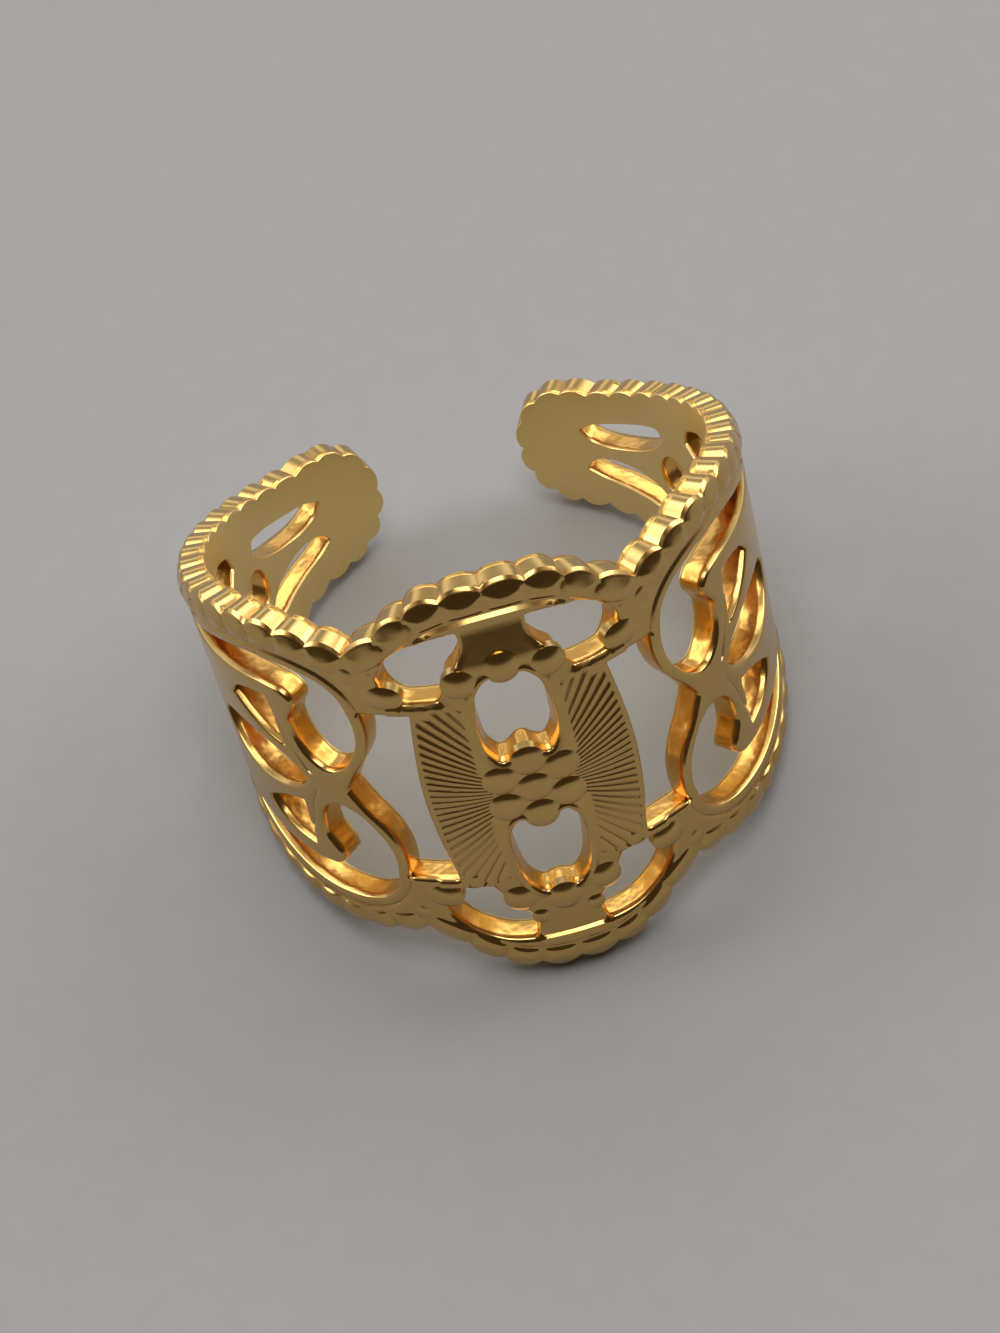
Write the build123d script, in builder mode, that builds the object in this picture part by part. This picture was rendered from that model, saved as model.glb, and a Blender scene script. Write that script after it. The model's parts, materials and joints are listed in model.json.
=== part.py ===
from build123d import *
import os
from math import acos, atan2, cos, degrees, hypot, radians, sin, tan

# An open filigree ring: a wide pierced band with a beaded rim, bent round a finger size
# and left open at the back, lying on its side as it comes to rest on a table
os.makedirs("parts", exist_ok=True)

# The bent band, in millimetres, and degrees round the ring from the middle of the front
inner_radius = 8.7
wall = 1.0
gap_angle = 36.4
crown_half_height = 8.4
crown_half_angle = 29.8
valley_half_height = 6.35
shoulder_half_height = 6.85
shoulder_angle = 49.0
tab_half_height = 2.6
tab_start_angle = 141.0
tab_round_angle = 17.0

# The metal that is left between the openings, and between them and the rim's edge
rim_width = 1.5
strip = 0.42
arm_width = 0.45

# The sunburst plate at the front, and the apple-shaped opening above and below its beads
plate_corner_angle = 19.5
plate_half_angle = 21.6
plate_half_height = 3.75
apple_half_angle = 7.4
apple_start = 1.33
apple_length = 3.45
neck_half_angle = 6.8
junction_angle = 5.6

# The scroll panel beside it: a curled loop above and below, two tears and a middle leaf
loop_length_angle = 49.3
loop_base = 0.85
leaf_half_height = 1.12

# The plainer back: two leaves behind the loops, a hole, and the slots in the tab
rear_gap_angle = 3.0
rear_length_angle = 24.8
rear_base = 1.75
rear_height = 1.75
hole_gap_angle = 7.1
hole_radius = 0.95
slot_gap_angle = 3.1
slot_length_angle = 25.8
slot_base = 0.3
slot_height = 1.6

# The raised beads
crown_bead_radius = 0.68
flank_bead_radius = 0.58
bead_relief = 0.28
bead_overhang = 0.2
crown_bead_pitch = 1.42
flank_bead_pitch = 1.2
cluster_bead_radius = 0.5
cluster_pitch = 1.18
frame_bead_radius = 0.5
valley_bead_radius = 0.35

outer_radius = inner_radius + wall
tip_angle = 180 - gap_angle / 2
flank_angle = tab_start_angle - shoulder_angle
crown_rise = crown_half_height - valley_half_height
shoulder_rise = shoulder_half_height - tab_half_height
cutter_margin = wall
tall = 2 * crown_half_height + 2 * cutter_margin
seam_turn = (0, 0, 90)
crown_stations = 8
flank_stations = 26
cluster_count = 6
full_turn = 360

# Share of the crown's half angle, share of its height above the valley
CROWN_EDGE = [(0, 1), (0.22, 0.97), (0.44, 0.85), (0.68, 0.5), (0.89, 0.12), (1, 0)]
# Share of the way from the shoulder to the tab, share of the shoulder's height above it
FLANK_EDGE = [(0, 1), (0.17, 0.92), (0.36, 0.71), (0.55, 0.49), (0.74, 0.255), (0.88, 0.1), (1, 0)]
# Share of the tab's rounded end, share of the tab's half height
TIP_EDGE = [(0.4, 0.93), (0.72, 0.74), (0.9, 0.48), (1, 0)]
# Share of the crown's half angle, share of the crown's half height
FRAME_BEADS = [(0, 0.623), (0.29, 0.58), (0.79, 0.54)]

# Outlines as shares along and across their own box, one list for each run between corners
APPLE = [
    [(0.5, 0.115), (0.64, 0.05), (0.8, 0.0), (0.95, 0.12), (1.0, 0.37), (0.98, 0.63),
     (0.88, 0.89), (0.7, 1.0), (0.5, 0.965)],
    [(0.5, 0.965), (0.3, 1.0), (0.12, 0.89), (0.02, 0.63), (0.0, 0.37), (0.05, 0.12),
     (0.2, 0.0), (0.36, 0.05), (0.5, 0.115)],
]
CORNER = [
    [(0.05, 1.0), (0.3, 0.97), (0.6, 0.86), (0.84, 0.67), (0.98, 0.42), (0.97, 0.24),
     (0.8, 0.02), (0.6, 0.0), (0.38, 0.01)],
    [(0.38, 0.01), (0.3, 0.16), (0.24, 0.33), (0.09, 0.5), (0.0, 0.67), (0.0, 0.86), (0.05, 1.0)],
]
LEAF = [
    [(0, 0.5), (0.09, 0.73), (0.22, 0.88), (0.4, 0.98), (0.58, 1), (0.77, 0.92), (0.92, 0.73), (1, 0.5)],
    [(1, 0.5), (0.92, 0.27), (0.77, 0.08), (0.58, 0), (0.4, 0.02), (0.22, 0.12), (0.09, 0.27), (0, 0.5)],
]
REAR = [
    [(0.0, 0.6), (0.15, 0.3), (0.35, 0.08), (0.6, 0.0), (0.85, 0.06), (1.0, 0.25)],
    [(1.0, 0.25), (0.96, 0.55), (0.8, 0.8), (0.55, 1.0), (0.3, 0.95), (0.0, 0.6)],
]
SLOT = [
    [(1.0, 0.38), (0.9, 0.1), (0.74, 0.0), (0.52, 0.05), (0.3, 0.2), (0.12, 0.45), (0.0, 0.78)],
    [(0.0, 0.78), (0.04, 1.0), (0.2, 0.98), (0.42, 0.84), (0.64, 0.7), (0.85, 0.57), (1.0, 0.38)],
]
# The scroll: the loop's front from its foot to its top, its back, and its curl
LOOP = [
    [(0.155, 0.0), (0.1, 0.06), (0.05, 0.185), (0.013, 0.33), (0.0, 0.5),
     (0.008, 0.63), (0.035, 0.79), (0.1, 0.91), (0.19, 0.975), (0.31, 1.0)],
    [(0.31, 1.0), (0.43, 0.995), (0.545, 0.96), (0.665, 0.9), (0.785, 0.83), (0.9, 0.75), (1.0, 0.655)],
    [(1.0, 0.655), (0.88, 0.655), (0.75, 0.665), (0.62, 0.69), (0.5, 0.715), (0.38, 0.72),
     (0.3, 0.69), (0.27, 0.63), (0.275, 0.55), (0.3, 0.48), (0.325, 0.4), (0.325, 0.29),
     (0.305, 0.16), (0.262, 0.055), (0.21, 0.0), (0.155, 0.0)],
]
TEAR = [
    [(0.42, 0.57), (0.41, 0.45), (0.41, 0.28), (0.4, 0.1)],
    [(0.4, 0.1), (0.5, 0.155), (0.6, 0.25), (0.68, 0.355)],
    [(0.68, 0.355), (0.63, 0.46), (0.55, 0.53), (0.42, 0.57)],
]
# Share of the loop's length at which the middle leaf starts, and the leaf's own share of it
leaf_start_share = 0.325
leaf_length_share = 0.63


def arc_length(angle):
    """Millimetres along the outside of the band for an angle round the ring."""
    return radians(angle) * outer_radius


def in_box(runs, start, length, base, height):
    """Flat runs from the shares of a box, given by two angles and two heights."""
    return [[(arc_length(start + length * along), base + height * across) for along, across in run]
            for run in runs]


def in_front_of(run, distance):
    """The flat run moved sideways, towards the front, by a distance."""
    moved = []
    for i, (x, y) in enumerate(run):
        before, after = run[max(i - 1, 0)], run[min(i + 1, len(run) - 1)]
        dx, dy = after[0] - before[0], after[1] - before[1]
        moved.append((x - distance * dy / hypot(dx, dy), y + distance * dx / hypot(dx, dy)))
    return moved


def mirrored(runs, x_sign, y_sign):
    """The flat runs of an outline in another quarter of the pattern."""
    return [[(x * x_sign, y * y_sign) for x, y in run] for run in runs]


def ring_plane(angle, distance):
    """The upright plane that faces outwards at an angle round the ring, at a distance."""
    outwards = Vector(sin(radians(angle)), -cos(radians(angle)), 0)
    along = Vector(cos(radians(angle)), sin(radians(angle)), 0)
    return Plane(outwards * distance, x_dir=along, z_dir=outwards)


def punch(runs):
    """The solid that pierces the wall with an outline, its sides square to the bent wall."""
    middle = sum(x for run in runs for x, y in run) / sum(len(run) for run in runs)
    sections = []
    for distance in (inner_radius - cutter_margin, outer_radius + cutter_margin):
        with BuildSketch(ring_plane(degrees(middle / outer_radius), distance)) as section:
            with BuildLine():
                for run in runs:
                    Spline([(distance * tan((x - middle) / outer_radius), y) for x, y in run])
            make_face()
        sections.append(section.sketch)
    return loft(sections, ruled=True, mode=Mode.PRIVATE)


def upright_section(x, half_height):
    """A radial rectangle through the wall, at a place along the flat band."""
    radial = ring_plane(degrees(x / outer_radius), 0)
    middle = (inner_radius + outer_radius) / 2
    with BuildSketch(Plane(radial.z_dir * middle, x_dir=radial.z_dir, z_dir=radial.x_dir)) as section:
        Rectangle(wall + 2 * cutter_margin, 2 * half_height)
    return section.sketch


def seat(x, y, radius):
    """The place of a bead's centre over a place on the flat band."""
    under = ring_plane(degrees(x / outer_radius), outer_radius + bead_relief - radius)
    return under.location * Location((0, y, 0))


def four_seats(places, radius):
    """The places of beads in all four quarters, each spot on a middle line taken once."""
    spots = {(side * x, level * y) for x, y in places for side in (-1, 1) for level in (-1, 1)}
    return [seat(x, y, radius) for x, y in sorted(spots)]


def peg(radius):
    """A rim bead with the round stub under it, which scallops the rim through the wall."""
    with BuildPart() as bead:
        Cylinder(radius, wall + cutter_margin, align=(Align.CENTER, Align.CENTER, Align.MAX))
        Sphere(radius)
    return bead.part


def rim_seats(edge, pitch, radius):
    """Places of equal pitch along an edge of the flat band, set in from it."""
    count = round(edge.length / pitch)
    places = []
    for i in range(count):
        share = (i + 0.5) / count
        point = edge.position_at(share * edge.length, PositionMode.LENGTH)
        along = edge.tangent_at(share * edge.length, PositionMode.LENGTH)
        inset = radius - bead_overhang
        places.append((point.X + along.Y * inset, point.Y - along.X * inset))
    return places


def tipping_angle(front, front_radius, back, back_radius):
    """How far the ring tips back from one bead at the bottom before another one touches too."""
    apart = front - back
    return -degrees(atan2(apart.Y, apart.Z) + acos((front_radius - back_radius) / hypot(apart.Y, apart.Z)))


# The upper edge of the flat band, from the middle of the front to the tip of a tab
crown_points = [(arc_length(crown_half_angle * along), valley_half_height + crown_rise * up)
                for along, up in CROWN_EDGE]
flank_points = [(arc_length(shoulder_angle + flank_angle * along), tab_half_height + shoulder_rise * up)
                for along, up in FLANK_EDGE]
tip_points = [(arc_length(tip_angle - tab_round_angle * (1 - along)), tab_half_height * up)
              for along, up in TIP_EDGE]
crown_edge = Spline(crown_points)
flank_edge = Spline(crown_points[-1:] + flank_points + tip_points)

# The openings that are repeated in the four quarters of the pattern
loop_start = crown_half_angle + degrees(strip / outer_radius)
loop_end = loop_start + loop_length_angle
loop_height = shoulder_half_height - rim_width - loop_base
loop_box = (loop_start, loop_length_angle, loop_base, loop_height)
rear_start = loop_end + rear_gap_angle
rear_end = rear_start + rear_length_angle
hole_angle = rear_end + hole_gap_angle
slot_start = hole_angle + slot_gap_angle
corner_base = plate_half_height + arm_width
corner_length = crown_half_angle - junction_angle - neck_half_angle
loop = in_box(LOOP, *loop_box)
quarter_openings = [
    loop,
    in_box(TEAR, *loop_box),
    in_box(CORNER, neck_half_angle, corner_length, corner_base, crown_half_height - rim_width - corner_base),
    in_box(REAR, rear_start, rear_length_angle, rear_base, rear_height),
    in_box(SLOT, slot_start, slot_length_angle, slot_base, slot_height),
]

# The openings that cross the middle line: beside the plate, and the leaf behind the loops
loop_side = in_front_of(loop[0][1:6], strip)
notch = (2 * loop_side[0][0] - loop_side[1][0], 0)
plate_corner = (arc_length(plate_corner_angle), plate_half_height)
plate_bulge = (arc_length(plate_half_angle), 0)
below_loop = [(x, -y) for x, y in reversed(loop_side)]
below_corner = (plate_corner[0], -plate_corner[1])
beside_plate = [
    [plate_corner, loop_side[-1]],
    [*reversed(loop_side), notch],
    [notch, *reversed(below_loop)],
    [below_loop[0], below_corner],
    [below_corner, plate_bulge, plate_corner],
]
leaf = in_box(LEAF, loop_start + loop_length_angle * leaf_start_share,
              loop_length_angle * leaf_length_share, -leaf_half_height, 2 * leaf_half_height)
apple = in_box(APPLE, -apple_half_angle, 2 * apple_half_angle, apple_start, apple_length)

# The beads: along the rim, in the valley between crown and flank, on the frame, in a cluster
crown_beads = rim_seats(crown_edge, crown_bead_pitch, crown_bead_radius)
flank_beads = rim_seats(flank_edge, flank_bead_pitch, flank_bead_radius)
valley_beads = [(crown_points[-1][0], valley_half_height - rim_width / 2)]
frame_beads = [(arc_length(crown_half_angle * along), crown_half_height * up) for along, up in FRAME_BEADS]
cluster_turns = [radians(full_turn * (i + 0.5) / cluster_count) for i in range(cluster_count)]
cluster_beads = [(cluster_pitch * cos(turn), cluster_pitch * sin(turn)) for turn in cluster_turns]
crown_peg = peg(crown_bead_radius)
flank_peg = peg(flank_bead_radius)

# The whole band: a bent wall, pierced, beaded, and bored to the finger's size
with BuildPart() as band:
    Cylinder(outer_radius, tall, rotation=seam_turn)
    outline = []
    for edge, stations in ((crown_edge, crown_stations), (flank_edge, flank_stations)):
        outline += [edge.position_at(i / stations * edge.length, PositionMode.LENGTH)
                    for i in range(stations)]
    sections = [upright_section(-point.X, point.Y) for point in reversed(outline[1:])]
    sections += [upright_section(point.X, point.Y) for point in outline]
    add(loft(sections, ruled=True, mode=Mode.PRIVATE), mode=Mode.INTERSECT)

    punches = []
    for side in (-1, 1):
        punches.append(punch(mirrored(apple, 1, side)))
        punches.append(punch(mirrored(beside_plate, side, 1)))
        punches.append(punch(mirrored(leaf, side, 1)))
        for level in (-1, 1):
            punches += [punch(mirrored(opening, side, level)) for opening in quarter_openings]
    add(punches, mode=Mode.SUBTRACT)
    with Locations(*[ring_plane(side * hole_angle, outer_radius) for side in (-1, 1)]):
        Cylinder(hole_radius, 2 * (wall + cutter_margin), mode=Mode.SUBTRACT)

    with Locations(*four_seats(crown_beads, crown_bead_radius)):
        add(crown_peg)
    with Locations(*four_seats(flank_beads, flank_bead_radius)):
        add(flank_peg)
    with Locations(*four_seats(valley_beads, valley_bead_radius)):
        Sphere(valley_bead_radius)
    with Locations(*four_seats(frame_beads, frame_bead_radius)):
        Sphere(frame_bead_radius)
    with Locations(*[seat(x, y, cluster_bead_radius) for x, y in [(0, 0), *cluster_beads]]):
        Sphere(cluster_bead_radius)
    Cylinder(inner_radius, tall, rotation=seam_turn, mode=Mode.SUBTRACT)

# How it comes to rest: on the crown's lowest beads and, tipped back, on the flanks'
low_crown = seat(crown_beads[0][0], -crown_beads[0][1], crown_bead_radius).position
low_flank = [seat(x, -y, flank_bead_radius).position for x, y in flank_beads]
rest_tilt = min(tipping_angle(low_crown, crown_bead_radius, bead, flank_bead_radius) for bead in low_flank)
tipped = band.part.moved(Location((0, 0, 0), (-rest_tilt, 0, 0)))
box = tipped.bounding_box()
ring_centre = Vector(-box.center().X, -box.center().Y, -box.min.Z)
resting = tipped.moved(Location(ring_centre))
print(f"tipped back {rest_tilt:.3f} degrees, ring centre {ring_centre}, volume {resting.volume:.2f}")

resting.label = "openwork_band"
export_step(resting, "parts/openwork_band.step")
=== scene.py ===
import json
import math

import bmesh
import bpy
import numpy as np
from mathutils import Matrix, Vector, geometry, kdtree


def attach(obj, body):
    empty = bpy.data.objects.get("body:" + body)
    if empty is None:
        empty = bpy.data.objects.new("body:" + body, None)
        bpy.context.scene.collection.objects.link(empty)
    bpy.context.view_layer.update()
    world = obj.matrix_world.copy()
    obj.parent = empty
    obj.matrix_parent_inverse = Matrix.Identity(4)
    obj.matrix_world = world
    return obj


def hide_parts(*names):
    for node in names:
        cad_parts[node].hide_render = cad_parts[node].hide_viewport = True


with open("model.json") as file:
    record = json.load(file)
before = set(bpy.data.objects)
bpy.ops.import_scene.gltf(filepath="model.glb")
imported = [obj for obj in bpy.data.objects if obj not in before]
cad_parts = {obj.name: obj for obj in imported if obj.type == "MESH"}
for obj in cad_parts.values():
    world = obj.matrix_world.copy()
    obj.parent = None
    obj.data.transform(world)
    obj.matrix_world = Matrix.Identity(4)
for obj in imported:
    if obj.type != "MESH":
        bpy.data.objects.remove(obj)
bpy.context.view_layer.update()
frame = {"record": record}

# The strip
# The real ring is one strip of gold-plated brass, cast flat with its openings and its relief
# and then bent round a finger. It is made the same way here: flat, in millimetres, as a place
# along the outside, a height and a depth, and bent as the last step.
mount = frame["record"]["mounts"][0]
inner_radius = mount["dims"]["r_mm"]
wall = 1.0
outer_radius = inner_radius + wall
gap_angle = 36.4
crown_half_height = 8.4
crown_half_angle = 29.8
valley_half_height = 6.35
shoulder_half_height = 6.85
shoulder_angle = 49.0
tab_half_height = 2.6
tab_start_angle = 141.0
tab_round_angle = 17.0
outline_step = 0.1

# Share of the crown's half angle, share of its height above the valley
CROWN_EDGE = [(0, 1), (0.22, 0.97), (0.44, 0.85), (0.68, 0.5), (0.89, 0.12), (1, 0)]
# Share of the way from the shoulder to the tab, share of the shoulder's height above it
FLANK_EDGE = [(0, 1), (0.17, 0.92), (0.36, 0.71), (0.55, 0.49), (0.74, 0.255), (0.88, 0.1), (1, 0)]
# Share of the tab's rounded end, share of the tab's half height
TIP_EDGE = [(0.4, 0.93), (0.72, 0.74), (0.9, 0.48), (1, 0)]


def arc_length(angle):
    """Millimetres along the outside of the band for an angle round the ring."""
    return math.radians(angle) * outer_radius


def smooth_line(points):
    """A smooth flat line through given points, as close points."""
    knots = np.array(points, dtype=float)
    gaps = np.linalg.norm(np.diff(knots, axis=0), axis=1)
    slopes = np.diff(knots, axis=0) / gaps[:, None]
    tangents = np.tile(slopes[0], (len(knots), 1))
    if len(knots) > 2:
        before, after = gaps[:-1, None], gaps[1:, None]
        tangents[1:-1] = (slopes[:-1] * after + slopes[1:] * before) / (before + after)
        tangents[0] = 1.5 * slopes[0] - 0.5 * tangents[1]
        tangents[-1] = 1.5 * slopes[-1] - 0.5 * tangents[-2]
    reached = np.concatenate(([0], np.cumsum(gaps)))
    spots = np.linspace(0, reached[-1], max(2, round(reached[-1] / outline_step)) + 1)
    piece = np.clip(np.searchsorted(reached, spots, side="right") - 1, 0, len(gaps) - 1)
    gap = gaps[piece, None]
    s = (spots - reached[piece])[:, None] / gap
    return ((2 * s ** 3 - 3 * s ** 2 + 1) * knots[piece] + (s ** 3 - 2 * s ** 2 + s) * gap * tangents[piece]
            + (3 * s ** 2 - 2 * s ** 3) * knots[piece + 1] + (s ** 3 - s ** 2) * gap * tangents[piece + 1])


def beside(line, distance):
    """An open flat line moved sideways, to the left of its own direction."""
    ahead = np.gradient(np.array(line, dtype=float), axis=0)
    ahead /= np.linalg.norm(ahead, axis=1)[:, None]
    return np.array(line) + distance * np.column_stack((-ahead[:, 1], ahead[:, 0]))


# The band's edge, in one quarter and all round
crown_rise = crown_half_height - valley_half_height
shoulder_rise = shoulder_half_height - tab_half_height
tip_angle = 180 - gap_angle / 2
crown_points = [(arc_length(crown_half_angle * along), valley_half_height + crown_rise * up)
                for along, up in CROWN_EDGE]
flank_points = [(arc_length(shoulder_angle + (tab_start_angle - shoulder_angle) * along),
                 tab_half_height + shoulder_rise * up) for along, up in FLANK_EDGE]
tip_points = [(arc_length(tip_angle - tab_round_angle * (1 - along)), tab_half_height * up)
              for along, up in TIP_EDGE]
crown_edge = smooth_line(crown_points)
flank_edge = smooth_line(crown_points[-1:] + flank_points + tip_points)
quarter_edge = np.concatenate([crown_edge[:-1], flank_edge])
band_edge = np.concatenate([quarter_edge, (quarter_edge * (1, -1))[-2::-1],
                            (quarter_edge * (-1, -1))[1:], (quarter_edge * (-1, 1))[-2:0:-1]])

# The openings
# The strip is pierced right through in the casting. An apple lies above and below the cluster,
# a loop, a tear and a leaf make the scroll on each side, and plainer holes lighten the back.
rim_width = 1.5
strip = 0.42
arm_width = 0.45
plate_corner_angle = 19.5
plate_half_angle = 21.6
plate_half_height = 3.75
apple_half_angle = 7.4
apple_start = 1.33
apple_length = 3.45
neck_half_angle = 6.8
junction_angle = 5.6
loop_length_angle = 49.3
loop_base = 0.85
leaf_half_height = 1.12
leaf_start_share = 0.325
leaf_length_share = 0.63
rear_gap_angle = 3.0
rear_length_angle = 24.8
rear_base = 1.75
rear_height = 1.75
hole_gap_angle = 7.1
hole_radius = 0.95
slot_gap_angle = 3.1
slot_length_angle = 25.8
slot_base = 0.3
slot_height = 1.6

# Outlines as shares along and across a box, one list for each run between corners. The tear is
# given in the loop's box, and the others each have their own.
APPLE = [
    [(0.5, 0.118), (0.55, 0.112), (0.65, 0.055), (0.8, 0.0), (0.95, 0.12), (1.0, 0.37), (0.98, 0.63),
     (0.88, 0.89), (0.7, 1.0), (0.55, 0.97), (0.5, 0.965)],
    [(0.5, 0.965), (0.45, 0.97), (0.3, 1.0), (0.12, 0.89), (0.02, 0.63), (0.0, 0.37), (0.05, 0.12),
     (0.2, 0.0), (0.35, 0.055), (0.45, 0.112), (0.5, 0.118)],
]
CORNER = [
    [(0.05, 1.0), (0.3, 0.97), (0.6, 0.86), (0.84, 0.67), (0.98, 0.42), (0.97, 0.24),
     (0.8, 0.02), (0.6, 0.0), (0.38, 0.01)],
    [(0.38, 0.01), (0.3, 0.16), (0.24, 0.33), (0.09, 0.5), (0.0, 0.67), (0.0, 0.86), (0.05, 1.0)],
]
LEAF = [
    [(0, 0.5), (0.09, 0.73), (0.22, 0.88), (0.4, 0.98), (0.58, 1), (0.77, 0.92), (0.92, 0.73), (1, 0.5)],
    [(1, 0.5), (0.92, 0.27), (0.77, 0.08), (0.58, 0), (0.4, 0.02), (0.22, 0.12), (0.09, 0.27), (0, 0.5)],
]
REAR = [
    [(0.0, 0.6), (0.15, 0.3), (0.35, 0.08), (0.6, 0.0), (0.85, 0.06), (1.0, 0.25)],
    [(1.0, 0.25), (0.96, 0.55), (0.8, 0.8), (0.55, 1.0), (0.3, 0.95), (0.0, 0.6)],
]
SLOT = [
    [(1.0, 0.38), (0.9, 0.1), (0.74, 0.0), (0.52, 0.05), (0.3, 0.2), (0.12, 0.45), (0.0, 0.78)],
    [(0.0, 0.78), (0.04, 1.0), (0.2, 0.98), (0.42, 0.84), (0.64, 0.7), (0.85, 0.57), (1.0, 0.38)],
]
LOOP = [
    [(0.155, 0.0), (0.1, 0.06), (0.05, 0.185), (0.013, 0.33), (0.0, 0.5),
     (0.008, 0.63), (0.035, 0.79), (0.1, 0.91), (0.19, 0.975), (0.31, 1.0)],
    [(0.31, 1.0), (0.43, 0.995), (0.545, 0.96), (0.665, 0.9), (0.785, 0.83), (0.9, 0.75), (1.0, 0.655)],
    [(1.0, 0.655), (0.88, 0.655), (0.75, 0.665), (0.62, 0.69), (0.5, 0.715), (0.38, 0.72),
     (0.3, 0.69), (0.27, 0.63), (0.275, 0.55), (0.3, 0.48), (0.325, 0.4), (0.325, 0.29),
     (0.305, 0.16), (0.262, 0.055), (0.21, 0.0), (0.155, 0.0)],
]
TEAR = [
    [(0.42, 0.57), (0.41, 0.45), (0.41, 0.28), (0.4, 0.1)],
    [(0.4, 0.1), (0.5, 0.155), (0.6, 0.25), (0.68, 0.355)],
    [(0.68, 0.355), (0.63, 0.46), (0.55, 0.53), (0.42, 0.57)],
]


def in_box(runs, start, length, base, height):
    """Flat runs from the shares of a box, given by two angles and two heights."""
    return [[(arc_length(start + length * along), base + height * across) for along, across in run]
            for run in runs]


def closed_line(runs):
    """The close points of a closed outline."""
    return np.concatenate([smooth_line(run)[:-1] for run in runs])


def outward(line):
    """Unit normals that point out of a closed outline."""
    ahead = np.roll(line, -1, axis=0) - np.roll(line, 1, axis=0)
    ahead /= np.linalg.norm(ahead, axis=1)[:, None]
    following = np.roll(line, -1, axis=0)
    turned = np.sign(np.sum(line[:, 0] * following[:, 1] - following[:, 0] * line[:, 1]))
    return turned * np.column_stack((ahead[:, 1], -ahead[:, 0]))


loop_start = crown_half_angle + math.degrees(strip / outer_radius)
loop_end = loop_start + loop_length_angle
loop_box = (loop_start, loop_length_angle, loop_base, shoulder_half_height - rim_width - loop_base)
rear_start = loop_end + rear_gap_angle
hole_angle = rear_start + rear_length_angle + hole_gap_angle
frame_edge = crown_half_height - rim_width
corner_base = plate_half_height + arm_width
corner_length = crown_half_angle - junction_angle - neck_half_angle
loop = in_box(LOOP, *loop_box)

# The opening beside the plate follows the loop's near side to a notch on the middle line
loop_side = [tuple(place) for place in beside(loop[0], strip)[1:6]]
notch = (2 * loop_side[0][0] - loop_side[1][0], 0)
plate_corner = (arc_length(plate_corner_angle), plate_half_height)
plate_bulge = (arc_length(plate_half_angle), 0)
below_loop = [(x, -y) for x, y in reversed(loop_side)]
below_corner = (plate_corner[0], -plate_corner[1])
beside_plate = closed_line([
    [plate_corner, loop_side[-1]],
    [*reversed(loop_side), notch],
    [notch, *reversed(below_loop)],
    [below_loop[0], below_corner],
    [below_corner, plate_bulge, plate_corner],
])

# The leaf and the round hole lie on the middle line, the apples above and below it, and the rest
# are made in one quarter and mirrored into the others
leaf = closed_line(in_box(LEAF, loop_start + loop_length_angle * leaf_start_share,
                          loop_length_angle * leaf_length_share, -leaf_half_height, 2 * leaf_half_height))
apple = closed_line(in_box(APPLE, -apple_half_angle, 2 * apple_half_angle, apple_start, apple_length))
hole_turns = np.linspace(0, 2 * math.pi, round(2 * math.pi * hole_radius / outline_step), endpoint=False)
hole = np.column_stack((arc_length(hole_angle) + hole_radius * np.cos(hole_turns),
                        hole_radius * np.sin(hole_turns)))
quarter_openings = [closed_line(runs) for runs in (
    loop,
    in_box(TEAR, *loop_box),
    in_box(CORNER, neck_half_angle, corner_length, corner_base, frame_edge - corner_base),
    in_box(REAR, rear_start, rear_length_angle, rear_base, rear_height),
    in_box(SLOT, hole_angle + slot_gap_angle, slot_length_angle, slot_base, slot_height),
)]
openings = []
for side in (-1, 1):
    openings += [opening * (side, 1) for opening in (beside_plate, leaf, hole)]
    openings.append(apple * (1, side))
    for level in (-1, 1):
        openings += [opening * (side, level) for opening in quarter_openings]

# Every edge as close points, with the way into the metal
edges = [band_edge, *openings]
edge_places = np.concatenate(edges)
edge_before = np.concatenate([np.roll(line, 1, axis=0) for line in edges])
edge_after = np.concatenate([np.roll(line, -1, axis=0) for line in edges])
edge_normals = np.concatenate([-outward(band_edge), *[outward(opening) for opening in openings]])
edge_starts = np.cumsum([0] + [len(line) for line in edges])
rim_size = len(band_edge)


def near_tree(places):
    """A lookup of the nearest of many flat places."""
    tree = kdtree.KDTree(len(places))
    for i, (x, y) in enumerate(places):
        tree.insert((x, y, 0), i)
    tree.balance()
    return tree


def nearest(tree, places):
    """Which place of a lookup lies nearest to each flat place, and how far from it."""
    found = [tree.find((x, y, 0)) for x, y in places]
    return np.array([index for _, index, _ in found]), np.array([distance for _, _, distance in found])


def to_segment(places, start, end):
    """How far flat places lie from their own straight segments."""
    run = end - start
    share = np.clip(np.sum((places - start) * run, axis=1) / np.sum(run * run, axis=1), 0, 1)
    return np.linalg.norm(places - start - share[:, None] * run, axis=1)


edge_tree = near_tree(edge_places)


def into_metal(places):
    """How far flat places lie from the nearest edge, below zero in an opening or past the rim."""
    near = nearest(edge_tree, places)[0]
    distance = np.minimum(to_segment(places, edge_before[near], edge_places[near]),
                          to_segment(places, edge_places[near], edge_after[near]))
    return np.copysign(distance, np.sum((places - edge_places[near]) * edge_normals[near], axis=1))


# The relief
# Low relief is cast and cut into the outside of the strip: the sunburst on its raised plate, the
# rim round each apple, the sunk neck, the lip inside the crown's beads and lines along the scrolls.
# The neck's drops, the lip's rises and the rays' least cosines are for above and below the middle.
plate_rise = 0.07
plate_top = 4.1
plate_step_from = (1.8, 2.3)
plate_soft_half = 0.5
step_width = 0.08
neck_drops = (0.335, 0.1)
neck_half_width = 1.35
neck_from = 5.3
apple_rim_width = 0.26
apple_rim_rise = 0.05
ray_turn = 4.8
ray_last_turn = 72
ray_end_turn = 73
ray_half_turn = 1.5
ray_start = 1.25
ray_clear_turn = 31
ray_start_beside_apple = 1.56
ray_margin = 0.1
ray_top = 4.02
ray_depth_share = 0.0084
ray_least_cosines = (0.75, 0.42)
ray_taper = 0.16
ray_rounds = 4
line_half_width = 0.12
line_depth = 0.07
lip_inset = 0.98
lip_rises = (0.12, 0.03)
lip_width = 0.1
lip_fall = 0.75
lip_end = 1.2
tiny = 0.01

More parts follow.
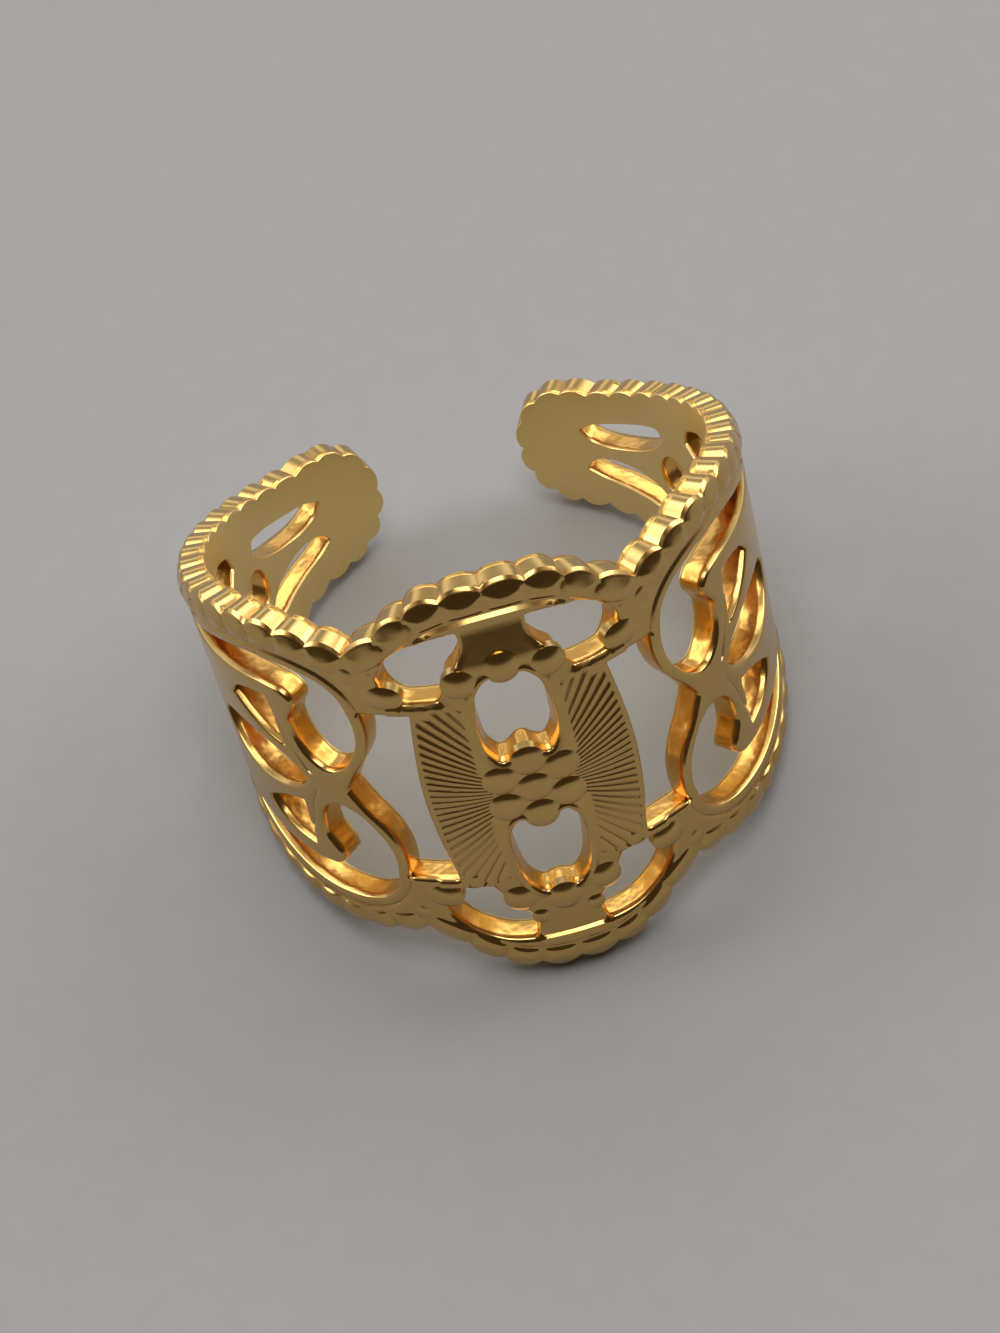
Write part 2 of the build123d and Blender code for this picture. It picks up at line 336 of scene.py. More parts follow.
# A cut line between the loop and the tear beside it, as shares of the loop's box
CURL_LINE = [(0.4, 0.39), (0.372, 0.25), (0.35, 0.1), (0.3, -0.09)]

# The cut lines run round each loop, beside its tear and inside the flank's beads
loop_line = beside(smooth_line(loop[0][4:] + loop[1][1:-1]), strip)
flank_line = beside(flank_edge, -lip_inset)
on_flank = (flank_line[:, 0] > arc_length(shoulder_angle)) & (flank_line[:, 0] < arc_length(tab_start_angle))
cut_lines = [
    loop_line[loop_line[:, 1] > plate_half_height],
    smooth_line(in_box([CURL_LINE], *loop_box)[0]),
    flank_line[on_flank],
]
lip_line = beside(crown_edge, -lip_inset)
lip_normals = beside(lip_line, -1) - lip_line
line_tree = near_tree(np.concatenate(cut_lines))
lip_tree = near_tree(lip_line)
apple_tree = near_tree(apple)


def fade(value, start, end):
    """From 0 at start to 1 at end, smoothly."""
    share = np.clip((value - start) / (end - start), 0, 1)
    return share * share * (3 - 2 * share)


def ray_limits(turns):
    """Where the sunburst's cuts start and end, as distances from the middle of the plate.

    The plate's side is curved, so where a cut meets it is found in a few rounds.
    """
    first = np.where(turns < math.radians(ray_clear_turn), ray_start,
                     ray_start_beside_apple / np.cos(turns))
    last = np.full_like(turns, plate_bulge[0])
    bulge = plate_bulge[0] - plate_corner[0]
    for _ in range(ray_rounds):
        up = last * np.sin(turns) / plate_half_height
        last = (plate_bulge[0] - bulge * up ** 2 - ray_margin) / np.cos(turns)
    return first, np.minimum(last, ray_top / np.maximum(np.sin(turns), tiny))


def sunburst(folded, above):
    """How deep the sunburst is cut at places folded into one quarter."""
    turns = np.arctan2(folded[:, 1], folded[:, 0])
    reach = np.linalg.norm(folded, axis=1)
    first, last = ray_limits(np.minimum(turns, math.radians(ray_last_turn)))
    off = np.abs(turns - np.radians(ray_turn) * np.round(turns / np.radians(ray_turn)))
    cut = np.clip(1 - off / math.radians(ray_half_turn), 0, 1) * (turns < math.radians(ray_end_turn))
    cut *= np.clip((reach - first) / ray_taper, 0, 1) * np.clip((last - reach) / ray_taper, 0, 1)
    return ray_depth_share * reach * cut / np.maximum(np.cos(turns), np.where(above, *ray_least_cosines))


def relief(places):
    """The height of the band's outer face over its plain level."""
    folded = np.abs(places)
    across, up = folded.T
    above = places[:, 1] > 0
    soft = step_width / 2 + plate_soft_half * fade(across, plate_step_from[1], plate_step_from[0])
    plate = fade(up, plate_top + soft, plate_top - soft) * (across < plate_bulge[0] + strip)
    neck = np.clip((up - neck_from) / (frame_edge - neck_from), 0, 1) * (across < neck_half_width)
    neck *= fade(up, frame_edge + step_width, frame_edge)
    height = plate_rise * plate - np.where(above, *neck_drops) * neck

    from_apple = nearest(apple_tree, np.column_stack((places[:, 0], up)))[1]
    height += apple_rim_rise * fade(from_apple, apple_rim_width, apple_rim_width - step_width)
    height -= sunburst(folded, above)
    height -= line_depth * fade(nearest(line_tree, folded)[1], line_half_width, 0)

    near = nearest(lip_tree, folded)[0]
    inside = np.sum((folded - lip_line[near]) * lip_normals[near], axis=1)
    lip = np.clip(inside / lip_width, 0, 1) * (1 - fade(inside, lip_width, lip_fall))
    lip *= fade(across, lip_line[-1, 0], lip_line[-1, 0] - lip_end)
    return height + lip * np.where(above, *lip_rises)


# The metal
# The strip is solid brass between a front and a back face, with cut sides and with edges that
# polishing has rounded. Rows of points follow each fine feature, so that its slopes stay crisp.
plain_step = 0.22
plain_clear = plain_step / 3
inside_step = 0.5
inside_clear = inside_step / 4
outside_round = 0.17
outside_round_rows = (0.015, 0.045, 0.1, 0.17)
outside_round_drop = 0.14
inside_round = 0.08
inside_round_rows = (0.02, 0.045, 0.08)
inside_round_drop = 0.05
side_levels = (0.25, 0.5, 0.75)
edge_depth = 0.1
rim_rows = (0.02, 0.045, 0.075, 0.1, 0.125, 0.18, 0.25, 0.33, 0.41, 0.48, 0.54, 0.6, 0.68,
            0.75, 0.78, 0.81, 0.84, 0.87, 0.9, 0.94)
rim_rows_clear = 0.19
row_clear_share = 0.9
line_rows = (-1, -0.5, 0, 0.5, 1)
lip_rows = (-0.02, 0, 0.02, 0.08, 0.1, 0.12, 0.2)
ray_step = 0.08
ray_rows = (-1, -0.78, -0.24, 0, 0.24, 0.78, 1)
merge_distance = 1e-6


def rounding(distance, width, drop):
    """How far the surface falls near an edge that is rounded over."""
    share = np.clip(1 - distance / width, 0, 1)
    return drop * (1 - np.sqrt(1 - share ** 2))


def edge_rows(insets, first=0, last=None, clear=math.inf):
    """Rows of places beside the edges, without those that come too near another edge."""
    rows = []
    for inset in insets:
        row = edge_places[first:last] + edge_normals[first:last] * inset
        depth = into_metal(row)
        beside_opening = nearest(edge_tree, row)[0] >= rim_size
        rows.append(row[(depth > row_clear_share * inset) | (beside_opening & (depth > clear))])
    return np.concatenate(rows)


def plain_places(step, margin):
    """Evenly spread places in the metal, away from the edges."""
    lowest, highest = band_edge.min(axis=0), band_edge.max(axis=0)
    rows = np.arange(lowest[1], highest[1], step * math.sqrt(3) / 2)
    places = np.array([(x + step / 2 * (i % 2), y) for i, y in enumerate(rows)
                       for x in np.arange(lowest[0], highest[0], step)])
    return places[into_metal(places) > margin]


def four_ways(places):
    """Flat places of one quarter, in all four."""
    return np.concatenate([places * (side, level) for side in (-1, 1) for level in (-1, 1)])


def in_metal(places):
    """Whether flat places lie in the metal, by how many edges are crossed on the way out."""
    across, up = places[:, :1], places[:, 1:]
    rise = edge_after[:, 1] - edge_places[:, 1]
    slant = (edge_after[:, 0] - edge_places[:, 0]) / np.where(rise == 0, 1, rise)
    passed = (edge_places[:, 1] > up) != (edge_after[:, 1] > up)
    beyond = across < edge_places[:, 0] + slant * (up - edge_places[:, 1])
    return np.sum(passed & beyond, axis=1) % 2 == 1


def edge_pairs():
    """Each edge point with the one after it, round every edge."""
    return [(i, i + 1 if i + 1 < end else start) for start, end in zip(edge_starts, edge_starts[1:])
            for i in range(start, end)]


def face_sheet(extra):
    """One face of the band: its places, its triangles, and which place each edge point became."""
    spots = np.concatenate([edge_places, extra])
    made_places, _, made_triangles, made_from, *_ = geometry.delaunay_2d_cdt(
        [Vector(spot) for spot in spots], edge_pairs(), [], 0, merge_distance, True)
    became = {source: i for i, sources in enumerate(made_from) for source in sources}
    edge_ids = [became[i] for i in range(len(edge_places))]
    places, triangles = np.array(made_places), np.array(made_triangles)
    kept = ~np.all(np.isin(triangles, edge_ids), axis=1)
    kept[~kept] = in_metal(places[triangles[~kept]].mean(axis=1))
    return places, triangles[kept].tolist(), edge_ids


def mesh_of(name, places, face_list=()):
    """A mesh from places and faces."""
    mesh = bpy.data.meshes.new(name)
    mesh.from_pydata([tuple(place) for place in places], [], list(face_list))
    return mesh


# Rows that follow the cut lines, the lip, the sunburst's rays and the steps in the relief
feature_rows = []
for line in cut_lines:
    feature_rows += [beside(line, offset * line_half_width) for offset in line_rows]
feature_rows += [beside(lip_line, -offset) for offset in lip_rows]
for i in range(int(ray_last_turn / ray_turn) + 1):
    first, last = ray_limits(np.radians(np.array([i * ray_turn])))
    reach = np.linspace(first[0], last[0], max(3, round((last[0] - first[0]) / ray_step)))
    for offset in (*(ray_half_turn * share for share in ray_rows), ray_turn / 2):
        turn = math.radians(i * ray_turn + offset)
        feature_rows.append(np.column_stack((reach * math.cos(turn), reach * math.sin(turn))))
for height, half_length in ((plate_top, plate_bulge[0] + strip), (frame_edge, neck_half_width)):
    run = np.arange(0, half_length, outline_step)
    for offset in (-step_width / 2, 0, step_width / 2, step_width):
        feature_rows.append(np.column_stack((run, np.full_like(run, height + offset))))
for inset in (apple_rim_width - step_width, apple_rim_width - step_width / 2, apple_rim_width):
    ring = apple + outward(apple) * inset
    feature_rows.append(ring[ring[:, 0] >= 0])
features = four_ways(np.concatenate(feature_rows))
features = features[into_metal(features) > outside_round + step_width / 2]
close_rows = np.concatenate([features, edge_rows(outside_round_rows, rim_size),
                             edge_rows(rim_rows, 0, rim_size, rim_rows_clear)])
plain = plain_places(plain_step, outside_round + plain_clear)
plain = plain[nearest(near_tree(close_rows), plain)[1] > plain_clear]

outer_places, outer_faces, outer_ids = face_sheet(np.concatenate([close_rows, plain]))
inner_places, inner_faces, inner_ids = face_sheet(np.concatenate(
    [edge_rows(inside_round_rows), plain_places(inside_step, inside_round + inside_clear)]))
outer_heights = relief(outer_places)
rounded = rounding(np.maximum(into_metal(outer_places), 0), outside_round, outside_round_drop)
outer_heights -= np.where(nearest(edge_tree, outer_places)[0] < rim_size, 0, rounded)
hole_ids = outer_ids[rim_size:]
outer_heights[hole_ids] = np.minimum(outer_heights[hole_ids], -outside_round_drop)
inner_heights = rounding(np.maximum(into_metal(inner_places), 0), inside_round, inside_round_drop) - wall
inner_heights[inner_ids] = inside_round_drop - wall

# The two faces and the cut sides between them, as one closed mesh that knows how deep each point is
vertices = [np.column_stack((outer_places, outer_heights)), np.column_stack((inner_places, inner_heights))]
inner_start = len(outer_places)
levels = [np.array(outer_ids)]
depths = [np.zeros(len(outer_places)), np.ones(len(inner_places))]
depths[0][hole_ids] = edge_depth
count = inner_start + len(inner_places)
for share in side_levels:
    heights = outer_heights[outer_ids] * (1 - share) + inner_heights[inner_ids] * share
    vertices.append(np.column_stack((edge_places, heights)))
    depths.append(np.where(np.arange(len(edge_places)) < rim_size, 0, share))
    levels.append(np.arange(count, count + len(edge_places)))
    count += len(edge_places)
levels.append(np.array(inner_ids) + inner_start)
faces = outer_faces + [[i + inner_start for i in reversed(face)] for face in inner_faces]
for upper, lower in zip(levels, levels[1:]):
    faces += [[upper[i], upper[j], lower[j], lower[i]] for i, j in edge_pairs()]
vertices = np.concatenate(vertices)
band_mesh = mesh_of("flat_band", vertices, face_list=faces)
band_mesh.attributes.new("depth", "FLOAT", "POINT").data.foreach_set("value", np.concatenate(depths))
shell = bmesh.new()
shell.from_mesh(band_mesh)
bmesh.ops.recalc_face_normals(shell, faces=shell.faces)
shell.to_mesh(band_mesh)
shell.free()

# The plating
# Thin bright gold lies over the brass. It is mirror smooth and greenish outside, satin and paler inside.
# Its outside colour is darkened as painted shade for the dim surroundings that the front mirrors.
# The cut sides are painted more orange, a painted reflection of gold walls facing each other,
# and the casting's streaks show in them as bumps.
# Painted shade: the outside gold is darker than the inside gold, for the dim room that the front mirrors.
shaded_outside_golds = ((0.585, 0.387, 0.132, 1), (0.66, 0.44, 0.156, 1))
inside_gold = (0.9, 0.69, 0.29, 1)
# Painted reflection: the cut sides' orange stands for gold walls mirroring one another.
cut_reflection_orange = (0.79, 0.43, 0.1, 1)
cut_reflection_share = 0.8
cut_depths = (0.06, 0.2)
inside_depths = (0.9, 0.99)
cloud_scale = 420.0
grain_scale = 5200.0
streak_scale = 1200.0
polished_roughness = 0.17
grain_roughness = 0.06
satin_roughness = 0.14
cut_roughness = 0.05
grain_height = 0.25
satin_height = 0.9
streak_height = 12
bump_height = 0.00002
bump_strength = 0.25


class Wire:
    """A value on its way through a node tree, on which sums and products add Math nodes."""

    def __init__(self, tree, socket=None):
        self.tree = tree
        self.socket = socket

    def make(self, kind, inputs, output=0, **settings):
        """Any other node, from its type, the values or links of its sockets, and its settings,
        which are set first."""
        node = self.tree.nodes.new(kind)
        for name, value in settings.items():
            setattr(node, name, value)
        for key, value in inputs.items():
            if isinstance(value, Wire):
                self.tree.links.new(value.socket, node.inputs[key])
            else:
                node.inputs[key].default_value = value
        return Wire(self.tree, node.outputs[output] if len(node.outputs) else None)

    def maths(self, operation, *values):
        return self.make("ShaderNodeMath", dict(enumerate(values)), operation=operation)

    def step(self, start, end):
        """From 0 where this value is start to 1 where it is end, smoothly."""
        return self.make("ShaderNodeMapRange", {"Value": self, "From Min": start, "From Max": end},
                         interpolation_type="SMOOTHSTEP")

    def between(self, first, second):
        """A colour from a first one to a second, as far as this value says."""
        return self.make("ShaderNodeMix", {"Factor": self, 6: first, 7: second}, 2, data_type="RGBA")

    def parts(self):
        """The three numbers of this vector."""
        node = self.make("ShaderNodeSeparateXYZ", {0: self}).socket.node
        return [Wire(self.tree, socket) for socket in node.outputs]

    def noise(self, scale, detail):
        """Soft noise at this place."""
        return self.make("ShaderNodeTexNoise", {"Vector": self, "Scale": scale, "Detail": detail}, "Fac")

    def __add__(self, other):
        return self.maths("ADD", self, other)

    def __radd__(self, other):
        return self.maths("ADD", other, self)

    def __sub__(self, other):
        return self.maths("SUBTRACT", self, other)

    def __rsub__(self, other):
        return self.maths("SUBTRACT", other, self)

    def __mul__(self, other):
        return self.maths("MULTIPLY", self, other)

    def __rmul__(self, other):
        return self.maths("MULTIPLY", other, self)

    def __truediv__(self, other):
        return self.maths("DIVIDE", self, other)

    def __rtruediv__(self, other):
        return self.maths("DIVIDE", other, self)


def bare_material(name):
    """A new material without nodes, and the start of its tree."""
    material = bpy.data.materials.new(name)
    material.use_nodes = True
    material.node_tree.nodes.clear()
    return material, Wire(material.node_tree)


plating, start = bare_material("gold_plating")
place = start.make("ShaderNodeTexCoord", {}, "Object")
depth = start.make("ShaderNodeAttribute", {}, "Fac", attribute_name="depth")
clouds = place.noise(cloud_scale, detail=3.0)
grain = place.noise(grain_scale, detail=4.0)
streaks = place.noise(streak_scale, detail=2.0)
inside = depth.step(*inside_depths)
cut = depth.step(*cut_depths) * (1 - inside)
# The outside takes the darker gold, painted shade, and the inside the paler one.
colour = inside.between(clouds.between(*shaded_outside_golds), inside_gold)
# The cut sides blend towards the painted orange reflection.
colour = (cut * cut_reflection_share).between(colour, cut_reflection_orange)
roughness = polished_roughness + grain * grain_roughness + inside * satin_roughness + cut * cut_roughness
height = grain * (grain_height + inside * satin_height) + streaks * cut * streak_height
normal = start.make("ShaderNodeBump", {"Strength": bump_strength, "Distance": bump_height, "Height": height})
shader = start.make("ShaderNodeBsdfPrincipled", {
    "Base Color": colour, "Metallic": 1.0, "Roughness": roughness, "Normal": normal})
start.make("ShaderNodeOutputMaterial", {"Surface": shader})

# The bend
# The finished strip is bent round a mandrel of the finger's size and left open at the back. A
# flat place becomes a place on the ring, which lies tipped back as its axis says.
ring_axis = Vector(mount["axis"])
ring_centre = Vector(mount["pos_m"])
rest_tilt = math.atan2(ring_axis.y, ring_axis.z)
millimetre = 0.001


def new_tree(name, sizes):
    """A geometry tree with a named input for each size: the tree and its inputs as wires."""
    tree = bpy.data.node_groups.new(name, "GeometryNodeTree")
    tree.interface.new_socket("Geometry", in_out="INPUT", socket_type="NodeSocketGeometry")
    for label, value in sizes.items():
        kind = "NodeSocketVector" if isinstance(value, Vector) else "NodeSocketFloat"
        tree.interface.new_socket(label, in_out="INPUT", socket_type=kind).default_value = value
    tree.interface.new_socket("Geometry", in_out="OUTPUT", socket_type="NodeSocketGeometry")
    source = tree.nodes.new("NodeGroupInput")
    return tree, {socket.name: Wire(tree, socket) for socket in source.outputs if socket.name}


bend_tree, bend = new_tree("bend_round_the_finger", {
    "Outside radius": outer_radius, "Tilt": rest_tilt, "Centre": ring_centre})
along, up, out = bend["Geometry"].make("GeometryNodeInputPosition", {}).parts()
turn = along / bend["Outside radius"]
reach = bend["Outside radius"] + out
bent = turn.make("ShaderNodeCombineXYZ", {
    0: reach * turn.maths("SINE", turn), 1: 0 - reach * turn.maths("COSINE", turn), 2: up})
tipped = bent.make("ShaderNodeVectorRotate", {"Vector": bent, "Angle": 0 - bend["Tilt"]},
                   rotation_type="X_AXIS")
placed = tipped.make("ShaderNodeVectorMath", {0: tipped, 1: (millimetre,) * 3, 2: bend["Centre"]},
                     operation="MULTIPLY_ADD")
bent = placed.make("GeometryNodeSetPosition", {"Geometry": bend["Geometry"], "Position": placed})
bent.make("NodeGroupOutput", {0: bent})


def bend_and_end(flat):
    """Bends what a tree has made, gives it its plating and ends the tree."""
    made = flat.make("GeometryNodeGroup", {0: flat}, node_tree=bend_tree)
    made = made.make("GeometryNodeRealizeInstances", {0: made})
    made = made.make("GeometryNodeSetMaterial", {"Geometry": made, "Material": plating})
    made.make("NodeGroupOutput", {0: made})


def finished_piece(name, mesh, tree, sizes, sharp_over):
    """The plain mesh that a geometry tree makes of a flat one, riding with the ring."""
    piece = bpy.data.objects.new(name, mesh)
    bpy.context.scene.collection.objects.link(piece)
    modifier = piece.modifiers.new("shape", "NODES")
    modifier.node_group = tree
    for item in tree.interface.items_tree:
        if item.in_out == "INPUT" and item.name in sizes:
            modifier[item.identifier] = sizes[item.name]
    graph = bpy.context.evaluated_depsgraph_get()
    made = bpy.data.meshes.new_from_object(piece.evaluated_get(graph), preserve_all_data_layers=True,
                                           depsgraph=graph)
    piece.modifiers.remove(modifier)
    piece.data = made
    made.name = name
    made.shade_smooth()
    made.set_sharp_from_angle(angle=math.radians(sharp_over))
    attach(piece, "root")
    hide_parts("openwork_band")
    return piece


# The rim's beads
# A row of low, long beads runs all the way round the rim, cast with it. Each has a bevelled outer
# side and swells past the edge, so that the edge is scalloped through its whole thickness.
crown_bead_pitch = 1.42
flank_bead_pitch = 1.2
bead_overhang = 0.13
between_insets = (0.08, 0.18)
bead_share_inside = 0.9
bead_rise = 0.14
between_drop = 0.02
bead_roundness = 0.85
bead_step_share = 0.55
bead_step = (0.79, 0.91)
bead_slope = (0.3, 0.86)
bead_outer_fade = 0.7
bead_edge_width = 0.11
bead_edge_slope = 1.2
bead_bevel_width = 0.45
bead_bevel_slope = 0.46
band_sharp_over = 36

edge_lengths = np.concatenate(([0], np.cumsum(np.linalg.norm(np.diff(quarter_edge, axis=0), axis=1))))
crown_length = edge_lengths[len(crown_edge) - 1]
crown_count = round(crown_length / crown_bead_pitch)
flank_count = round((edge_lengths[-1] - crown_length) / flank_bead_pitch)
edge_counts = np.interp(edge_lengths, (0, crown_length, edge_lengths[-1]),
                        (0, crown_count, crown_count + flank_count))
quarter_tree = near_tree(quarter_edge)


def along_rim(places):
    """How far flat places lie from the rim, their count of beads from the front, and the way out."""
    folded = np.abs(places)
    near = np.clip(nearest(quarter_tree, folded)[0], 1, len(quarter_edge) - 2)
    ahead = to_segment(folded, quarter_edge[near], quarter_edge[near + 1])
    first = near - (to_segment(folded, quarter_edge[near - 1], quarter_edge[near]) < ahead)
    run = quarter_edge[first + 1] - quarter_edge[first]
    share = np.clip(np.sum((folded - quarter_edge[first]) * run, axis=1) / np.sum(run * run, axis=1), 0, 1)
    distances = np.linalg.norm(folded - quarter_edge[first] - share[:, None] * run, axis=1)
    counts = edge_counts[first] * (1 - share) + edge_counts[first + 1] * share
    ways_out = -edge_normals[first] * (1 - share[:, None]) - edge_normals[first + 1] * share[:, None]
    return distances, counts, ways_out * np.sign(places)


rim_distances, rim_counts, rim_ways = along_rim(vertices[:, :2])
rim_ways = np.column_stack((rim_ways, np.zeros(len(rim_ways))))
band_mesh.attributes.new("rim_distance", "FLOAT", "POINT").data.foreach_set("value", rim_distances)
band_mesh.attributes.new("bead_count", "FLOAT", "POINT").data.foreach_set("value", rim_counts)
band_mesh.attributes.new("way_out", "FLOAT_VECTOR", "POINT").data.foreach_set("vector", rim_ways.ravel())

beaded_rim, rim = new_tree("beaded_rim", {
    "Wall": wall, "Overhang": bead_overhang, "Inset above": between_insets[0],
    "Inset below": between_insets[1], "Rise": bead_rise,
    "Drop of face between": between_drop, "Roundness": bead_roundness,
    "Step share": bead_step_share, "Step top": bead_step[0], "Step foot": bead_step[1],
    "Slope top": bead_slope[0], "Slope foot": bead_slope[1], "Swelling": bead_outer_fade,
    "Share inside": bead_share_inside, "Edge width": bead_edge_width, "Edge slope": bead_edge_slope,
    "Bevel width": bead_bevel_width, "Bevel slope": bead_bevel_slope})
flat = rim["Geometry"]
distance = flat.make("GeometryNodeInputNamedAttribute", {"Name": "rim_distance"}, data_type="FLOAT")
count = flat.make("GeometryNodeInputNamedAttribute", {"Name": "bead_count"}, data_type="FLOAT")
way_out = flat.make("GeometryNodeInputNamedAttribute", {"Name": "way_out"}, data_type="FLOAT_VECTOR")
_, up, out = flat.make("GeometryNodeInputPosition", {}).parts()
from_middle = count.maths("FRACT", count) * 2 - 1
crest = count.maths("POWER", 1 - from_middle * from_middle, rim["Roundness"])
step = distance.step(rim["Step foot"], rim["Step top"])
slope = distance.step(rim["Slope foot"], rim["Slope top"])
raised = slope + rim["Step share"] * (step - slope)
bevel = count.maths("MAXIMUM", rim["Edge width"] + crest * rim["Bevel width"] - distance, 0.0)
facet = count.maths("MAXIMUM", rim["Edge width"] - distance, 0.0)
lowered = bevel * rim["Bevel slope"] + facet * (rim["Edge slope"] - rim["Bevel slope"])
bulge = (rim["Rise"] + rim["Drop of face between"]) * crest - rim["Drop of face between"]
below = up.maths("LESS_THAN", up, 0.0)
inset = rim["Inset above"] + below * (rim["Inset below"] - rim["Inset above"])
past = (rim["Overhang"] + inset) * crest - inset
past = past * (1 + (1 - rim["Share inside"]) * out / rim["Wall"])
lift = (bulge * raised - lowered) * (1 + out / rim["Wall"])
swelling = distance.step(rim["Swelling"], 0.0)
shift = way_out.make("ShaderNodeVectorMath", {0: way_out, "Scale": past * swelling}, operation="SCALE")
shift = shift.make("ShaderNodeVectorMath", {0: shift, 1: lift.make("ShaderNodeCombineXYZ", {2: lift})},
                   operation="ADD")
bend_and_end(flat.make("GeometryNodeSetPosition", {"Geometry": flat, "Offset": shift}))
band = finished_piece("band", band_mesh, beaded_rim, {}, band_sharp_over)
for name in ("rim_distance", "bead_count", "way_out"):
    band.data.attributes.remove(band.data.attributes[name])

# The single beads and the cluster
# Low round beads of the same metal sit where the frame's arms meet, in the valleys of the rim,
# and seven together in the middle of the plate. They are bumps that go only a little way in.
bead_sides = 32
bead_rings = 7
bead_depth = 0.3
bead_sharp_over = 60
cluster_bead_radius = 0.6
cluster_bead_rise = 0.105
cluster_bead_power = 3.4
single_bead_power = 2.0
cluster_pitch = 1.18
# Share of the crown's half angle, share of the crown's half height, radius, rise, stretch along the
# band, and whether it is above as well as below
SINGLE_BEADS = {
    "frame_beads": [(0, 0.615, 0.6, 0.14, 1.0, True), (0.29, 0.575, 0.58, 0.15, 1.0, True),
                    (0.79, 0.54, 0.5, 0.13, 1.3, True)],
    "corner_beads": [(0.57, 0.452, 0.36, 0.08, 1.2, True)],
    "neck_beads": [(0.19, 0.7, 0.3, 0.07, 1.0, False)],
    "valley_beads": [(1, 0.645, 0.32, 0.06, 1.0, True)],
}

bead_tree, bead = new_tree("beads_at_places", {
    "Radius": cluster_bead_radius, "Rise": cluster_bead_rise, "Power": cluster_bead_power, "Stretch": 1.0,
    "Depth": bead_depth})
blank = bead["Radius"].make("GeometryNodeMeshCylinder", {
    "Vertices": bead_sides, "Fill Segments": bead_rings, "Radius": bead["Radius"],
    "Depth": bead["Depth"]}, fill_type="TRIANGLE_FAN")
along, across, up = blank.make("GeometryNodeInputPosition", {}).parts()
reach = up.maths("SQRT", along * along + across * across) / bead["Radius"]
reach = reach.maths("POWER", reach, bead["Power"])
on_top = up.maths("GREATER_THAN", up, 0.0)
domed = up - bead["Depth"] / 2 + on_top * bead["Rise"] * (1 - reach)
domed = domed.make("ShaderNodeCombineXYZ", {0: along * bead["Stretch"], 1: across, 2: domed})
blank = blank.make("GeometryNodeSetPosition", {"Geometry": blank, "Position": domed})
row = blank.make("GeometryNodeInstanceOnPoints", {"Points": bead["Geometry"], "Instance": blank})
bend_and_end(row.make("GeometryNodeRealizeInstances", {0: row}))


def beads_at(name, spots, radius, rise, power, stretch):
    """A piece of like beads at flat places."""
    finished_piece(name, mesh_of(name + "_places", spots), bead_tree,
                   {"Radius": radius, "Rise": rise, "Power": power, "Stretch": stretch}, bead_sharp_over)


for name, rows in SINGLE_BEADS.items():
    for i, (along, up, radius, rise, stretch, above) in enumerate(rows):
        x, y = arc_length(crown_half_angle * along), crown_half_height * up
        heights = (-y, y) if above else (-y,)
        spots = sorted({(side * x, height, 0) for side in (-1, 1) for height in heights})
        beads_at(f"{name}_{i + 1}", spots, radius, rise, single_bead_power, stretch)
cluster_turns = [math.radians(60 * i + 30) for i in range(6)]
cluster = [(0, 0, plate_rise)]
cluster += [(cluster_pitch * math.cos(turn), cluster_pitch * math.sin(turn), plate_rise)
            for turn in cluster_turns]
beads_at("cluster_beads", cluster, cluster_bead_radius, cluster_bead_rise, cluster_bead_power, 1.0)

# The table
# A plain pale sheet of matt paper lies under the ring, and reaches far past the view. Its tone
# wanders a little with its fibres.
table_half_size = 1.5
paper_tones = ((0.295, 0.298, 0.307, 1), (0.32, 0.324, 0.334, 1))
fibre_scale = 900.0
paper, start = bare_material("paper")
fibres = start.make("ShaderNodeTexCoord", {}, "Object").noise(fibre_scale, detail=5.0)
tone = fibres.between(*paper_tones)
matt = start.make("ShaderNodeBsdfPrincipled", {"Base Color": tone, "Roughness": 0.85})
start.make("ShaderNodeOutputMaterial", {"Surface": matt})
table_mesh = mesh_of("table", [(x * table_half_size, y * table_half_size, 0) for x, y in
                               ((-1, -1), (1, -1), (1, 1), (-1, 1))], face_list=[(0, 1, 2, 3)])
table_mesh.materials.append(paper)
table = bpy.data.objects.new("table", table_mesh)
bpy.context.scene.collection.objects.link(table)

# The light
# One wide soft light hangs overhead and two smaller ones stand at the sides. The room in front is
# dark, which draws the dark upper side of each bead. The backdrop behind is grey, with a faint
# bright band low down and a strong one higher up, which the sides of the rim's beads mirror.
room_strength = 0.055
front_tint = (1, 0.72, 0.45, 1)
backdrop_tint = (1, 1, 1, 1)
backdrop_from = (-0.35, 0.8)
backdrop_strength = 0.3
low_band_height = 0.05
low_band_fade = (0.25, 0.1)
low_band_strength = 0.9
high_band_height = 0.66
high_band_fade = (0.2, 0.1)
high_band_strength = 2.8
ceiling_from = (0.84, 0.97)
ceiling_strength = 0.3
seen_grey = (0.36, 0.36, 0.36, 1)
light_aim = Vector((0, 0, 0.006))


def soft_light(name, place, size, power):
    """A square soft light that faces the ring."""
    lamp = bpy.data.lights.new(name, "AREA")
    lamp.size = size
    lamp.energy = power
    holder = bpy.data.objects.new(name, lamp)
    holder.location = place
    holder.rotation_euler = (Vector(place) - light_aim).to_track_quat("Z", "Y").to_euler()
    bpy.context.scene.collection.objects.link(holder)


